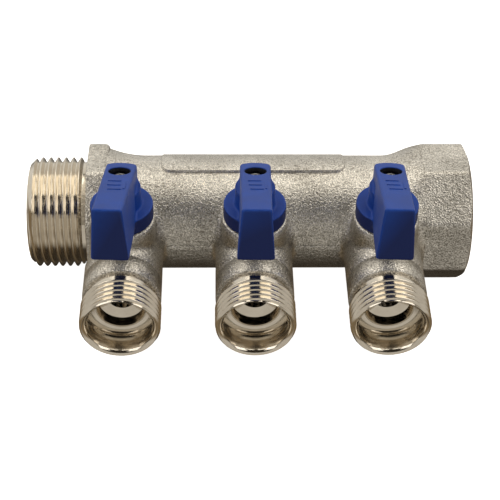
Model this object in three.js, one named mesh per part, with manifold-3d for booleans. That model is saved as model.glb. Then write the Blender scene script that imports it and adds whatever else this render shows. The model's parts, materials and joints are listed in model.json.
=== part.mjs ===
// Underfloor heating manifold: a forged, nickel-plated brass bar with three ball-valved outlets.
//
// Everything is modelled round the bar's own axis: +X runs along the bar from its male end to its
// female end, -Y is the way the outlets point, +Z is the way the handles stand. The last lines move
// the whole model so that its origin is the middle of the bottom of its box. Sizes are millimetres.

import * as THREE from 'three';
import { mergeVertices } from 'three/addons/utils/BufferGeometryUtils.js';
import Module from 'manifold-3d';

const wasm = await Module();
wasm.setup();

// ---------------------------------------------------------------- driving dimensions

const touchGap = 0.3;              // left between pieces that touch or slide on the real object
const cutMargin = 1;               // how far a cutting shape runs past the face it opens

// Main G1 thread, male on the left end and female in the right one
const mainThreadRadius = 16.6;
const mainPitch = 2.309;
const mainThreadDepth = 1.479;
const maleCrests = 7;
const maleChamferStart = 0.4;      // the chamfer over the first crest leaves this much of it at the face
const maleRunOut = 1.5;            // plain groove behind the last crest
const maleEndWall = 2.32;          // metal between the thread's root and the water way
const femaleCrests = 5;
const femaleClearance = 0.05;      // female crests over the male thread's root
const femaleThreadDepth = 1.1;
const femaleEntry = 1.3;           // chamfer at the mouth
const femaleRunOut = 1.5;

// Bar
const barWall = 4.4;
const outletPitch = 38;            // centre to centre
const outletNames = ['left', 'middle', 'right'];

// Wrench octagons and the sweeps that blend them into the bar
const octagonRise = 2.3;           // the octagon's flats above the bar
const octagonTurn = 6;             // degrees, the octagons lean back round the bar's axis
const sweepInset = 0.1;            // a sweep's low end starts just inside the bar
const collarFromOutlet = 5.2;      // from the left outlet's axis to the octagon behind the male thread
const collarLength = 6.1;
const collarSweep = 11;
const collarSweepRise = 2.1;       // the sweep's high end above the bar
const socketFromOutlet = 12.6;     // from the right outlet's axis to the female end's octagon
const socketLength = 13.9;
const socketSweep = 11.5;          // rises through the octagon's flats and past its corners
const socketSweepSlope = 0.41;
const socketSweepBend = 4.5;       // length over which that slope builds up
const socketChamfer = 1.2;         // turned chamfer that trims the octagon's corners
const socketFaceDrop = 0.9;        // the flat ring at the female end, below the octagon's flats

// Blank raised plate on top of the bar
const plateRaise = 0.8;
const plateHalfLength = 27.5;
const plateFront = 2.3;            // its front edge, in front of the bar's axis
const plateBack = 12.5;            // its back edge, behind the axis

// Ball, seats and the chamber that holds them
const ballRadius = 7;
const portRadius = 4;              // water way through body, seats, ball and nipple
const seatLength = 2.7;
const seatWall = 0.84;             // seat outside its widest opening
const chamberFloorWall = 1.2;      // between the main water way and the inner seat
const spigotWall = 1.3;            // nipple's wall round the outer seat
const barrelWall = 2;
const barrelPastStem = 11.7;       // from the stem's axis to the barrel's end

// Stem
const slotWidth = 2.4;             // drive slot across the ball's top
const slotDepth = 2.2;
const collarAboveBall = 0.9;
const stemCollarLedge = 0.9;       // the collar's rim outside the shaft
const stemCollarThickness = 1.1;
const washerThickness = 0.6;
const shaftRadius = 3.3;
const glandLength = 5.1;           // length of the tower's bore round the shaft
const towerWall = 5.8;
const grooveDepth = 1.1;
const grooveSteps = { lower: 1.3, upper: 3.5 };   // groove centres above the bore's shoulder
const shaftStandOut = 0.2;
const squareSide = 4.6;
const squareLength = 10.7;
const screwHoleRadius = 1.6;
const screwHoleDepth = 9.5;

// Outlet nipple, G5/8 thread
const nippleThreadRadius = 11.4555;
const nipplePitch = 1.814;
const nippleThreadDepth = 1.162;
const nippleCrests = 5;
const flangeLength = 6.3;
const reliefLength = 2.4;
const nippleRim = 0.45;            // plain rim at the mouth
const mouthDrop = 0.6;             // mouth's edge below the thread's crests
const mouthChamfer = 1.15;
const tailBoreRadius = 9.4;        // takes the tail of the pipe fitting
const tailBoreDepth = 8.1;
const stepDrop = 2.5;              // step below the tail bore
const stepLength = 3.1;
const stepTaper = 0.4;
const spigotCup = 1.7;             // rim of the spigot round the outer seat

// Handle, sized from the stem's axis and from the top of its round skirt
const skirtRadius = 9;
const skirtHeight = 4.9;
const hubRadius = 5.7;
const hubHeight = 6.5;
const leverBack = 6.9;
const leverBackRadius = 7.2;       // rounds the heel's corners, so neighbours pass each other
const leverReach = 29.8;           // top edge of the front face
const leverTipReach = 30.2;        // bottom edge of the front face
const leverBackRise = 9.1;
const leverFrontRise = 22.9;
const leverTipRise = 5.5;
const leverWidthBack = 8.8;
const leverWidthFront = 7.9;
const leverWidthTip = 10.2;
const leverHeel = 3.3;             // thickness of the lever behind the hub
const leverWall = 1.8;
const screwFloor = 1.5;            // floor under the screw's head
const handleSet = { left: -2.5, middle: -0.8, right: -2.5 };   // degrees each open handle stands off square

// Turning stop: a lug on the tower inside a groove in the handle's skirt
const handleTurn = 90;             // degrees from open to closed
const stopFromShaft = 2.1;
const stopWidth = 1.8;
const stopHeight = 1.6;
const stopAngle = 30;              // degrees, the lug's own width
const stopPlay = 6;                // degrees, free at each end

// Handle screw
const screwHeadRadius = 2.75;
const screwHeadHeight = 2.1;
const screwShankRadius = 1.25;
const recessWidth = 0.7;

// Facets round a circle
const barFacets = 32;
const nippleFacets = 20;
const smallFacets = 16;
const ringFacets = 5;

// ---------------------------------------------------------------- places worked out from them

// Along the bar
const mainThreadRoot = mainThreadRadius - mainThreadDepth;
const boreRadius = mainThreadRoot - maleEndWall;
const barRadius = boreRadius + barWall;
const octagonHalf = barRadius + octagonRise;
const octagonCorner = octagonHalf / Math.cos(Math.PI / 8);
const outletX = outletNames.map((name, i) => (i - (outletNames.length - 1) / 2) * outletPitch);
const collarInnerX = outletX[0] - collarFromOutlet;
const collarOuterX = collarInnerX - collarLength;
const maleEndX = collarOuterX - maleRunOut - maleCrests * mainPitch;
const socketInnerX = outletX[outletX.length - 1] + socketFromOutlet;
const femaleEndX = socketInnerX + socketLength;

// Along an outlet: distances of a seat's two faces from the ball's centre, then from the bar's axis
const ballClear = ballRadius + touchGap;
const seatFar = Math.sqrt(ballClear ** 2 - (portRadius + touchGap) ** 2);
const seatNear = seatFar - seatLength;
const seatRadius = Math.sqrt(ballClear ** 2 - seatNear ** 2) + seatWall;
const pocketRadius = seatRadius + touchGap;
const spigotRadius = pocketRadius + spigotWall;
const chamberRadius = spigotRadius + touchGap;
const barrelRadius = chamberRadius + barrelWall;
const chamberFloor = boreRadius + chamberFloorWall;
const stemDistance = chamberFloor + touchGap + seatFar;
const barrelEnd = stemDistance + barrelPastStem;
const cupFloor = stemDistance + seatFar + touchGap;
const flangeStart = barrelEnd + touchGap;
const flangeEnd = flangeStart + flangeLength;
const nippleThreadStart = flangeEnd + reliefLength;
const nippleThreadEnd = nippleThreadStart + nippleCrests * nipplePitch;
const nippleReach = nippleThreadEnd + nippleRim;
const stepFace = nippleReach - tailBoreDepth;
const stepRadius = tailBoreRadius - stepDrop;

// Up a stem, from the outlet's axis
const bladeBottom = ballRadius - slotDepth + touchGap;
const stemCollarRadius = shaftRadius + stemCollarLedge;
// The blade turns between the two seats and goes in through the collar's bore
const bladeReach = Math.min(seatNear - touchGap, stemCollarRadius);
const stemCollarBottom = ballRadius + collarAboveBall;
const stemCollarTop = stemCollarBottom + stemCollarThickness;
const washerBottom = stemCollarTop + touchGap;
const washerTop = washerBottom + washerThickness;
const shoulderHeight = washerTop + touchGap;
const towerTop = shoulderHeight + glandLength;
const towerBore = shaftRadius + touchGap;
const towerRadius = towerBore + towerWall;
const grooveRadius = shaftRadius - grooveDepth;
const shaftTop = towerTop + shaftStandOut;
const squareTop = shaftTop + squareLength;
const stopInner = shaftRadius + stopFromShaft;
const stopOuter = stopInner + stopWidth;

// Handle
const skirtBottom = towerTop + touchGap;
const skirtTop = skirtBottom + skirtHeight;
const leverTopBack = skirtTop + leverBackRise;
const leverTopFront = skirtTop + leverFrontRise;
const leverTipHeight = skirtTop + leverTipRise;
const leverSlope = (leverTopFront - leverTopBack) / (leverReach + leverBack);
const squareSocketTop = squareTop + touchGap;
const screwSeat = squareSocketTop + screwFloor;

// ---------------------------------------------------------------- materials

const finishes = {
  nickel: { color: 0xb9b0a2, roughness: 0.38, metalness: 0.9 },
  chrome: { color: 0xc9c7c4, roughness: 0.15, metalness: 1 },
  brass: { color: 0xb5954d, roughness: 0.35, metalness: 1 },
  steel: { color: 0xc4c6c6, roughness: 0.25, metalness: 1 },
  blue: { color: 0x2a4b9b, roughness: 0.45, metalness: 0 },
  ptfe: { color: 0xf0efea, roughness: 0.6, metalness: 0 },
  rubber: { color: 0x1a1a1a, roughness: 0.8, metalness: 0 },
};

// ---------------------------------------------------------------- closed shapes and booleans

// A closed three.js geometry becomes a solid: shared corners merged, empty triangles dropped.
function solid(geometry) {
  const bare = geometry.clone();
  bare.deleteAttribute('normal');
  bare.deleteAttribute('uv');
  const merged = mergeVertices(bare, 1e-4);
  const index = merged.index.array;
  const kept = [];
  for (let t = 0; t < index.length; t += 3) {
    const [a, b, c] = [index[t], index[t + 1], index[t + 2]];
    if (a !== b && b !== c && c !== a) kept.push(a, b, c);
  }
  return new wasm.Manifold(new wasm.Mesh({
    numProp: 3,
    vertProperties: new Float32Array(merged.attributes.position.array),
    triVerts: new Uint32Array(kept),
  }));
}

function toGeometry(body) {
  const mesh = body.getMesh();
  const geometry = new THREE.BufferGeometry();
  geometry.setAttribute('position', new THREE.BufferAttribute(mesh.vertProperties, 3));
  geometry.setIndex(new THREE.BufferAttribute(mesh.triVerts, 1));
  geometry.computeVertexNormals();
  return geometry;
}

// Profiles are lists of [radius, distance along the axis], outer side first, in rising order.
function turned(profile, facets) {
  return new THREE.LatheGeometry(profile.map(([r, d]) => new THREE.Vector2(r, d)), facets);
}
const alongX = (profile, facets) => solid(turned(profile, facets).rotateZ(-Math.PI / 2));
const alongZ = (profile, facets) => solid(turned(profile, facets).rotateX(Math.PI / 2));
const alongOutlet = (profile, facets) => solid(turned(profile, facets).rotateX(Math.PI));

function rod(radius, from, to) {
  return [[0, from], [radius, from], [radius, to], [0, to]];
}

function box(x0, x1, y0, y1, z0, z1) {
  const shape = new THREE.BoxGeometry(x1 - x0, y1 - y0, z1 - z0);
  return solid(shape.translate((x0 + x1) / 2, (y0 + y1) / 2, (z0 + z1) / 2));
}

// Ring-shaped thread crests: each pitch rises to the crest and falls back to the root.
function crests(rootRadius, crestRadius, pitch, start, count) {
  const points = [];
  for (let i = 0; i < count; i += 1) {
    points.push([rootRadius, start + i * pitch]);
    points.push([crestRadius, start + (i + 0.5) * pitch]);
  }
  points.push([rootRadius, start + count * pitch]);
  return points;
}

// Round blend of a forging: it leaves the high end steeply and meets the low end smoothly.
function sweep(highEnd, highRadius, lowEnd, lowRadius) {
  const steps = 5;
  const points = [];
  for (let i = 0; i <= steps; i += 1) {
    const left = 1 - i / steps;
    points.push([lowRadius + (highRadius - lowRadius) * left ** 2, lowEnd + (highEnd - lowEnd) * left]);
  }
  return points;
}

// An outline drawn in the Y-Z plane and thickened along X, centred on X = 0.
function sidePlate(outline, halfWidthAt) {
  const shape = new THREE.Shape(outline.map(([y, z]) => new THREE.Vector2(y, z)));
  const plate = new THREE.ExtrudeGeometry(shape, { depth: 2, bevelEnabled: false });
  plate.translate(0, 0, -1);
  plate.applyMatrix4(new THREE.Matrix4().makeBasis(
    new THREE.Vector3(0, 1, 0), new THREE.Vector3(0, 0, 1), new THREE.Vector3(1, 0, 0),
  ));
  const points = plate.attributes.position;
  for (let i = 0; i < points.count; i += 1) {
    points.setX(i, points.getX(i) * halfWidthAt(points.getY(i), points.getZ(i)));
  }
  return solid(plate);
}

// A flat sector of a ring round the Z axis, from one angle to another, in degrees from +X.
function sector(inner, outer, fromAngle, toAngle, z0, z1) {
  const [a, b] = [THREE.MathUtils.degToRad(fromAngle), THREE.MathUtils.degToRad(toAngle)];
  const shape = new THREE.Shape();
  shape.absarc(0, 0, outer, a, b, false);
  shape.absarc(0, 0, inner, b, a, true);
  const block = new THREE.ExtrudeGeometry(shape, { depth: z1 - z0, bevelEnabled: false, curveSegments: 8 });
  return solid(block.translate(0, 0, z0));
}

function octagon(x0, x1) {
  const prism = new THREE.CylinderGeometry(octagonCorner, octagonCorner, x1 - x0, 8);
  prism.rotateY(Math.PI / 8);
  prism.rotateZ(-Math.PI / 2);
  prism.rotateX(-THREE.MathUtils.degToRad(octagonTurn));
  return solid(prism.translate((x0 + x1) / 2, 0, 0));
}

// ---------------------------------------------------------------- the forged body

function maleEnd() {
  const thread = alongX([
    [0, maleEndX],
    [mainThreadRoot, maleEndX],
    ...crests(mainThreadRoot, mainThreadRadius, mainPitch, maleEndX, maleCrests),
    [mainThreadRoot, collarInnerX],
    [0, collarInnerX],
  ], barFacets);
  const low = mainThreadRoot - maleChamferStart;
  const high = mainThreadRadius + cutMargin;
  return thread.intersect(alongX([
    [0, maleEndX],
    [low, maleEndX],
    [high, maleEndX + high - low],
    [high, collarInnerX],
    [0, collarInnerX],
  ], barFacets));
}

// The female end: an octagon whose flats and corners come out of the sweep that rises from the bar.
function femaleEnd() {
  const start = socketInnerX - socketSweep;
  const riseAt = (along) => {
    const bent = Math.min(along, socketSweepBend);
    return socketSweepSlope * (bent ** 2 / (2 * socketSweepBend) + Math.max(along - socketSweepBend, 0));
  };
  const clear = octagonCorner + cutMargin;
  const clearAt = socketSweepBend / 2 + (clear - barRadius) / socketSweepSlope;
  const bends = [0.35, 0.6, 0.8, 1].map((part) => part * socketSweepBend);
  const turnedEnd = alongX([
    [0, start],
    [barRadius - sweepInset, start],
    ...bends.map((along) => [barRadius + riseAt(along), start + along]),
    [clear, start + clearAt],
    [clear, femaleEndX - socketChamfer],
    [octagonCorner, femaleEndX - socketChamfer],
    [octagonHalf - socketFaceDrop, femaleEndX],
    [0, femaleEndX],
  ], barFacets);
  return octagon(start - cutMargin, femaleEndX).intersect(turnedEnd);
}

function barOutside() {
  const shoulder = barRadius + collarSweepRise;
  return alongX([
    [0, collarInnerX - cutMargin],
    [shoulder, collarInnerX - cutMargin],
    ...sweep(collarInnerX, shoulder, collarInnerX + collarSweep, barRadius),
    [barRadius, socketInnerX],
    [0, socketInnerX],
  ], barFacets);
}

function topPlate() {
  const slab = box(-plateHalfLength, plateHalfLength, -plateFront, plateBack, boreRadius, octagonHalf);
  return slab.intersect(alongX(rod(barRadius + plateRaise, -plateHalfLength, plateHalfLength), barFacets));
}

// One valve's outside: barrel towards the outlet, tower towards the handle, lug of the turning stop.
function valveOutside() {
  const barrel = alongOutlet(rod(barrelRadius, 0, barrelEnd), nippleFacets);
  const tower = alongZ(rod(towerRadius, 0, towerTop), nippleFacets);
  const half = stopAngle / 2;
  const lug = sector(stopInner, stopOuter, -half, half, towerTop - cutMargin, towerTop + stopHeight);
  return barrel.add(tower.add(lug).translate([0, -stemDistance, 0]));
}

// One valve's inside: port to the bar, pocket of the inner seat, chamber, and the stem's bore.
function valveInside() {
  const pocketEnd = stemDistance - seatNear + touchGap;
  const chamber = alongOutlet([
    [0, boreRadius - cutMargin],
    [portRadius, boreRadius - cutMargin],
    [portRadius, chamberFloor],
    [pocketRadius, chamberFloor],
    [pocketRadius, pocketEnd],
    [chamberRadius, pocketEnd],
    [chamberRadius, barrelEnd + cutMargin],
    [0, barrelEnd + cutMargin],
  ], nippleFacets);
  const stemBore = alongZ([
    [0, 0],
    [stemCollarRadius + touchGap, 0],
    [stemCollarRadius + touchGap, shoulderHeight],
    [towerBore, shoulderHeight],
    [towerBore, towerTop + cutMargin],
    [0, towerTop + cutMargin],
  ], smallFacets);
  return chamber.add(stemBore.translate([0, -stemDistance, 0]));
}

function mainWaterWay() {
  const crestRadius = mainThreadRoot + femaleClearance;
  const threadEnd = femaleEndX - femaleEntry;
  const threadStart = threadEnd - femaleCrests * mainPitch;
  return alongX([
    [0, maleEndX - cutMargin],
    [boreRadius, maleEndX - cutMargin],
    [boreRadius, threadStart - femaleRunOut],
    [crestRadius, threadStart - femaleRunOut],
    ...crests(crestRadius, crestRadius + femaleThreadDepth, mainPitch, threadStart, femaleCrests),
    [crestRadius + femaleEntry, femaleEndX],
    [crestRadius + femaleEntry, femaleEndX + cutMargin],
    [0, femaleEndX + cutMargin],
  ], barFacets);
}

function manifoldBody() {
  let body = barOutside().add(maleEnd()).add(octagon(collarOuterX, collarInnerX)).add(femaleEnd());
  body = body.add(topPlate());
  for (const x of outletX) body = body.add(valveOutside().translate([x, 0, 0]));
  body = body.subtract(mainWaterWay());
  for (const x of outletX) body = body.subtract(valveInside().translate([x, 0, 0]));
  return body;
}

// ---------------------------------------------------------------- outlet nipple

// Screwed into the barrel; its spigot presses the outer seat on the ball. The pipe fitting screws
// on its thread, and the fitting's tail sits in its bore, against the step.
function outletNipple() {
  const root = nippleThreadRadius - nippleThreadDepth;
  const mouthRadius = nippleThreadRadius - mouthDrop;
  const coneFace = stepFace - stepLength;
  const coneRadius = stepRadius - stepTaper;
  const coneLength = (coneRadius - portRadius) / Math.tan(Math.PI / 3);   // a drill point of 120 degrees
  return alongOutlet([
    [spigotRadius, cupFloor - spigotCup],
    [spigotRadius, flangeStart],
    [barrelRadius, flangeStart],
    [barrelRadius, flangeEnd],
    [root, flangeEnd + touchGap],
    ...crests(root, nippleThreadRadius, nipplePitch, nippleThreadStart, nippleCrests),
    [mouthRadius, nippleThreadEnd + touchGap],
    [mouthRadius, nippleReach],
    [tailBoreRadius + mouthChamfer, nippleReach],
    [tailBoreRadius, nippleReach - mouthChamfer],
    [tailBoreRadius, stepFace],
    [stepRadius, stepFace],
    [coneRadius, coneFace],
    [portRadius, coneFace - coneLength],
    [portRadius, cupFloor],
    [pocketRadius, cupFloor],
    [pocketRadius, cupFloor - spigotCup],
    [spigotRadius, cupFloor - spigotCup],
  ], nippleFacets);
}

// ---------------------------------------------------------------- ball, seats and stem

// Sphere with the water way along Y and a slot over its top, across the water way.
function ball() {
  const sphere = solid(new THREE.SphereGeometry(ballRadius, smallFacets, smallFacets / 2 + 2));
  const wayHalf = ballRadius + cutMargin;
  const way = solid(turned(rod(portRadius, -wayHalf, wayHalf), smallFacets));
  const slot = box(-wayHalf, wayHalf, -slotWidth / 2, slotWidth / 2, ballRadius - slotDepth, wayHalf);
  return sphere.subtract(way).subtract(slot);
}

// Sealing ring beside the ball: its inside follows the ball's curve, a gap away from it.
function seat() {
  const curveSteps = 4;
  const inside = [];
  for (let i = 0; i <= curveSteps; i += 1) {
    const d = seatFar - seatLength * (i / curveSteps);
    inside.push([Math.sqrt(ballClear ** 2 - d ** 2), d]);
  }
  const outline = [[seatRadius, seatNear], [seatRadius, seatFar], ...inside, [seatRadius, seatNear]];
  return turned(outline, smallFacets);
}

function stem() {
  const grooveHalf = (towerBore - grooveRadius) / 2;
  const grooves = Object.values(grooveSteps).flatMap((step) => [
    [shaftRadius, shoulderHeight + step - grooveHalf],
    [grooveRadius, shoulderHeight + step - grooveHalf],
    [grooveRadius, shoulderHeight + step + grooveHalf],
    [shaftRadius, shoulderHeight + step + grooveHalf],
  ]);
  const shaft = alongZ([
    [0, stemCollarBottom],
    [stemCollarRadius, stemCollarBottom],
    [stemCollarRadius, stemCollarTop],
    [shaftRadius, stemCollarTop],
    ...grooves,
    [shaftRadius, shaftTop],
    [0, shaftTop],
  ], smallFacets);
  const half = squareSide / 2;
  const square = box(-half, half, -half, half, shaftTop - cutMargin, squareTop);
  const bladeHalf = slotWidth / 2 - touchGap;
  const bladeTop = stemCollarBottom + stemCollarThickness / 2;
  const blade = box(-bladeReach, bladeReach, -bladeHalf, bladeHalf, bladeBottom, bladeTop);
  const hole = alongZ(rod(screwHoleRadius, squareTop - screwHoleDepth, squareTop + cutMargin), smallFacets);
  return shaft.add(square).add(blade).subtract(hole);
}

function stemWasher() {
  const [outer, inner] = [stemCollarRadius, towerBore];
  return turned([
    [outer, washerBottom],
    [outer, washerTop],
    [inner, washerTop],
    [inner, washerBottom],
    [outer, washerBottom],
  ], smallFacets).rotateX(Math.PI / 2);
}

function stemOring() {
  const space = towerBore - grooveRadius;
  const section = (space - 2 * touchGap) / 2;
  return new THREE.TorusGeometry(grooveRadius + space / 2, section, ringFacets, smallFacets);
}

// ---------------------------------------------------------------- handle

// Half the lever's width: it narrows towards its front, where its sides spread below the top face.
function leverHalfWidth(y, z) {
  const share = (leverBack - y) / (leverReach + leverBack);
  const topHeight = leverTopBack + leverSlope * (leverBack - y);
  const topWidth = THREE.MathUtils.lerp(leverWidthBack, leverWidthFront, share);
  const tipSpread = (leverWidthTip - leverWidthFront) / (leverTopFront - leverTipHeight);
  const spread = tipSpread * THREE.MathUtils.clamp(-y / leverReach, 0, 1) * Math.max(0, topHeight - z);
  return (topWidth + spread) / 2;
}

function leverOutline() {
  const inHub = hubRadius - leverWall;
  const inSkirt = skirtTop - leverWall / 2;
  const underReach = leverTipReach - (leverTipHeight - inSkirt) / leverSlope;
  const heelUnder = leverTopBack - leverHeel;
  return [
    [leverBack, leverTopBack],
    [-leverReach, leverTopFront],
    [-leverTipReach, leverTipHeight],
    [-underReach, inSkirt],
    [inHub, inSkirt],
    [inHub, heelUnder],
    [leverBack, heelUnder],
  ];
}

// The lever is a moulding, cored from below in front of the skirt.
function leverCore() {
  const topAt = (reach) => leverTopBack + leverSlope * (reach + leverBack) - leverWall;
  const [near, far] = [skirtRadius + leverWall, leverReach - leverWall];
  const outline = [
    [-near, topAt(near)],
    [-far, topAt(far)],
    [-far, skirtBottom],
    [-near, skirtBottom],
  ];
  return sidePlate(outline, (y, z) => leverHalfWidth(y, z) - leverWall);
}

// Rounds the corners of the lever's heel; its front passes untouched.
function heelRound() {
  const top = leverTopFront + cutMargin;
  const disc = alongZ(rod(leverBackRadius, skirtBottom, top), nippleFacets);
  return disc.add(box(-skirtRadius, skirtRadius, -leverTipReach - cutMargin, 0, skirtBottom, top));
}

function handle() {
  const skirt = alongZ(rod(skirtRadius, skirtBottom, skirtTop), nippleFacets);
  const hub = alongZ(rod(hubRadius, skirtTop - cutMargin, skirtTop + hubHeight), nippleFacets);
  const lever = sidePlate(leverOutline(), leverHalfWidth).intersect(heelRound()).subtract(leverCore());
  const half = squareSide / 2 + touchGap;
  const socket = box(-half, half, -half, half, skirtBottom - cutMargin, squareSocketTop);
  const screwWay = alongZ([
    [0, squareSocketTop - cutMargin],
    [screwHoleRadius, squareSocketTop - cutMargin],
    [screwHoleRadius, screwSeat],
    [screwHeadRadius + touchGap, screwSeat],
    [screwHeadRadius + touchGap, leverTopFront],
    [0, leverTopFront],
  ], smallFacets);
  const shaftWay = alongZ(rod(towerBore, skirtBottom - cutMargin, shaftTop + touchGap), smallFacets);
  const free = stopAngle / 2 + stopPlay;
  const stopGroove = sector(
    stopInner - touchGap, stopOuter + touchGap, -free, free + handleTurn,
    skirtBottom - cutMargin, towerTop + stopHeight + touchGap,
  );
  const outside = skirt.add(hub).add(lever);
  return outside.subtract(socket).subtract(screwWay).subtract(shaftWay).subtract(stopGroove);
}

// Pan-head screw with a cross recess.
function handleScrew() {
  const headBottom = screwSeat + touchGap;
  const headTop = headBottom + screwHeadHeight;
  const rimTop = headBottom + screwHeadHeight / 2;
  const shankBottom = squareTop - screwHoleDepth + 2 * touchGap;
  const domeSteps = 4;
  const dome = [];
  for (let i = 0; i < domeSteps; i += 1) {
    const angle = (i / domeSteps) * (Math.PI / 2);
    dome.push([screwHeadRadius * Math.cos(angle), rimTop + (headTop - rimTop) * Math.sin(angle)]);
  }
  const screw = alongZ([
    [0, shankBottom],
    [screwShankRadius, shankBottom],
    [screwShankRadius, headBottom],
    [screwHeadRadius, headBottom],
    ...dome,
    [0, headTop],
  ], smallFacets);
  const [arm, half] = [screwHeadRadius / 2, recessWidth / 2];
  const recess = box(-arm, arm, -half, half, rimTop, headTop + cutMargin)
    .add(box(-half, half, -arm, arm, rimTop, headTop + cutMargin));
  return screw.subtract(recess);
}

// ---------------------------------------------------------------- assembly

function piece(name, geometry, finish) {
  const mesh = new THREE.Mesh(geometry, new THREE.MeshStandardMaterial(finishes[finish]));
  mesh.name = name;
  return mesh;
}

function valve(name, x) {
  const group = new THREE.Group();
  group.position.x = x;
  group.add(piece(`outlet_nipple_${name}`, toGeometry(outletNipple()), 'nickel'));

  // Everything that lies round the stem's axis: the seats stay, the rest turns with the handle
  const works = new THREE.Group();
  works.position.y = -stemDistance;
  const seatInner = piece(`seat_inner_${name}`, toGeometry(solid(seat())), 'ptfe');
  const seatOuter = piece(`seat_outer_${name}`, toGeometry(solid(seat())), 'ptfe');
  seatOuter.rotation.x = Math.PI;
  works.add(seatInner, seatOuter);
  works.add(piece(`stem_washer_${name}`, toGeometry(solid(stemWasher())), 'ptfe'));
  const turning = new THREE.Group();
  turning.rotation.z = THREE.MathUtils.degToRad(handleSet[name]);
  turning.add(piece(`ball_${name}`, toGeometry(ball()), 'chrome'));
  turning.add(piece(`stem_${name}`, toGeometry(stem()), 'brass'));
  for (const [level, step] of Object.entries(grooveSteps)) {
    const oring = piece(`stem_oring_${level}_${name}`, toGeometry(solid(stemOring())), 'rubber');
    oring.position.z = shoulderHeight + step;
    turning.add(oring);
  }
  turning.add(piece(`handle_${name}`, toGeometry(handle()), 'blue'));
  turning.add(piece(`handle_screw_${name}`, toGeometry(handleScrew()), 'steel'));
  works.add(turning);
  group.add(works);
  return group;
}

const manifold = new THREE.Group();
manifold.add(piece('manifold_body', toGeometry(manifoldBody()), 'nickel'));
outletNames.forEach((name, i) => manifold.add(valve(name, outletX[i])));

// Origin: the middle of the bottom of the whole object's box.
const whole = new THREE.Box3().setFromObject(manifold, true);
manifold.position.set(-(whole.min.x + whole.max.x) / 2, -(whole.min.y + whole.max.y) / 2, -whole.min.z);

export default manifold;
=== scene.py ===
import json
import math
import bpy
import numpy as np
from mathutils import Matrix, Vector


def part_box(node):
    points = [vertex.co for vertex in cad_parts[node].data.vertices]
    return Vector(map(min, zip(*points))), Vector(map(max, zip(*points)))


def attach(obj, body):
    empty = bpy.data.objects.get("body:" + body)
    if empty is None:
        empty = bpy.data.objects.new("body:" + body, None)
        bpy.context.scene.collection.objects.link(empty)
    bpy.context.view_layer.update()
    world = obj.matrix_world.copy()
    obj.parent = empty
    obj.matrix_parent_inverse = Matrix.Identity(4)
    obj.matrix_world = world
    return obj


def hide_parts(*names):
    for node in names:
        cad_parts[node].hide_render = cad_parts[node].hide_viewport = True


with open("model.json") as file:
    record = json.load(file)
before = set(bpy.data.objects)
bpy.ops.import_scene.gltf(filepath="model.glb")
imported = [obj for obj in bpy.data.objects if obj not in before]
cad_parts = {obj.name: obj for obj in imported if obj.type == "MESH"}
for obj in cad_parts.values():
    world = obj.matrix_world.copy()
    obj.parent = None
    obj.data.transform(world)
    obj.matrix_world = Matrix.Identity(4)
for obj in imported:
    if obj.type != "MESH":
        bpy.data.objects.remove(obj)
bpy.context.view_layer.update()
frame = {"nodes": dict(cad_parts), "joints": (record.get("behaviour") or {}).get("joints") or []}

# Everything is worked out in millimetres from the bar's own axis, below the middle stem, and put
# into the frame in metres: x runs along the bar, -y the way the outlets point, z the way up.

stems = {j["child"]: Vector(j["pos_m"]) for j in frame["joints"]}
bodyLow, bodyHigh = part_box("manifold_body")
octagonLean = 6.0      # degrees that the octagons lean back round the bar
octagonReach = (bodyHigh.z - bodyLow.z) / 2 * 1000
octagonHalf = octagonReach * math.cos(math.radians(22.5)) / math.cos(math.radians(22.5 - octagonLean))
barAxis = Vector((stems["valve_middle"].x, bodyHigh.y - octagonReach / 1000, bodyLow.z + octagonReach / 1000))
sides = ("left", "middle", "right")
stemX = {side: (stems["valve_" + side].x - barAxis.x) * 1000 for side in sides}
stemY = (stems["valve_middle"].y - barAxis.y) * 1000
maleEndX = (bodyLow.x - barAxis.x) * 1000
femaleEndX = (bodyHigh.x - barAxis.x) * 1000
handleSet = {"left": -2.5, "middle": -0.8, "right": -2.5}   # degrees each open handle stands off square


def stemPlace(p, side):
    # points measured from a stem's axis, in directions that turn with its handle
    turn = math.radians(handleSet[side])
    dx, dy = p[:, 0] - stemX[side], p[:, 1] - stemY
    return math.cos(turn) * dx + math.sin(turn) * dy, math.cos(turn) * dy - math.sin(turn) * dx, p[:, 2]


# ---- meshes from whole arrays

def newMesh(name, points, faces, normals=None, sharpAngle=50):
    # points are millimetres from the bar's axis, faces rows of four corners
    mesh = bpy.data.meshes.new(name)
    placed = np.asarray(points, float) / 1000 + np.array(barAxis)
    mesh.vertices.add(len(placed))
    mesh.vertices.foreach_set("co", placed.astype(np.float32).ravel())
    faces = np.asarray(faces, np.int32)
    mesh.loops.add(faces.size)
    mesh.loops.foreach_set("vertex_index", faces.ravel())
    mesh.polygons.add(len(faces))
    mesh.polygons.foreach_set("loop_start", np.arange(0, faces.size, faces.shape[1], dtype=np.int32))
    mesh.polygons.foreach_set("use_smooth", np.ones(len(faces), bool))
    mesh.update(calc_edges=True)
    if normals is None:
        mesh.set_sharp_from_angle(angle=math.radians(sharpAngle))
    else:
        mesh.normals_split_custom_set_from_vertices(normals)
    piece = bpy.data.objects.new(name, mesh)
    bpy.context.scene.collection.objects.link(piece)
    return piece


def gridFaces(rows, columns, wrapRows=False, wrapColumns=True):
    # quads of a grid of points numbered row by row, closed on itself where asked
    r = np.arange(rows if wrapRows else rows - 1)[:, None]
    c = np.arange(columns if wrapColumns else columns - 1)[None, :]
    nextRow, nextColumn = (r + 1) % rows, (c + 1) % columns
    corners = [r * columns + c, r * columns + nextColumn,
               nextRow * columns + nextColumn, nextRow * columns + c]
    return np.stack([np.broadcast_to(k, (r.size, c.size)) for k in corners], -1).reshape(-1, 4)


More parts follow.
